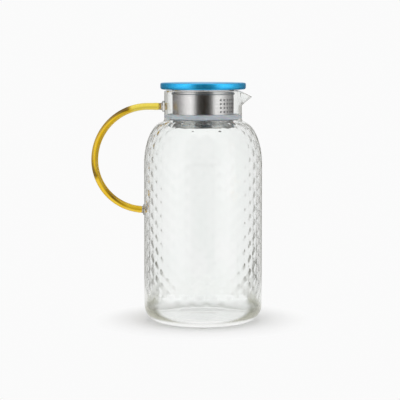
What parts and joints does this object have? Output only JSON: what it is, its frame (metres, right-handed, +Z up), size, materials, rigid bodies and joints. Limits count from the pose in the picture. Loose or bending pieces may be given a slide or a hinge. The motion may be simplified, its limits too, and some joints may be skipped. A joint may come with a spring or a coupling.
{
  "type": "glass pitcher with lid",
  "caption": "Tall round glass pitcher with a pulled spout, a glass rod handle and a turning steel strainer lid.",
  "frame": {"origin": "middle of the base, on the axis of the jug, on the surface that it stands on", "axes": "+Z up the axis of the jug, -X towards the handle, +X towards the spout"},
  "size_m": [0.1734, 0.12, 0.2425],
  "materials": {
    "clear_glass": "polished, hammered outside",
    "amber_glass": "polished",
    "seat_glass": "polished",
    "blue_steel": "glossy metallic lacquer",
    "plate_steel": "satin",
    "sleeve_steel": "brushed",
    "seal_silicone": "satin translucent"
  },
  "bodies": {
    "pitcher": {"glass_body": "clear_glass", "handle_rod": "amber_glass", "upper_handle_seat": "seat_glass", "lower_handle_seat": "seat_glass"},
    "seal": {"seal_ring": "seal_silicone"},
    "lid": {"lid_cap": "blue_steel", "lid_plate": "plate_steel", "strainer_sleeve": "sleeve_steel"}
  },
  "joints": [
    {"name": "lid_lift", "type": "slide", "parent": "pitcher", "child": "seal", "axis": [0, 0, 1], "range_m": [0, 0.06]},
    {"name": "lid_turn", "type": "hinge", "parent": "seal", "child": "lid", "pos_m": [0, 0, 0.21], "axis": [0, 0, 1], "continuous": true}
  ]
}
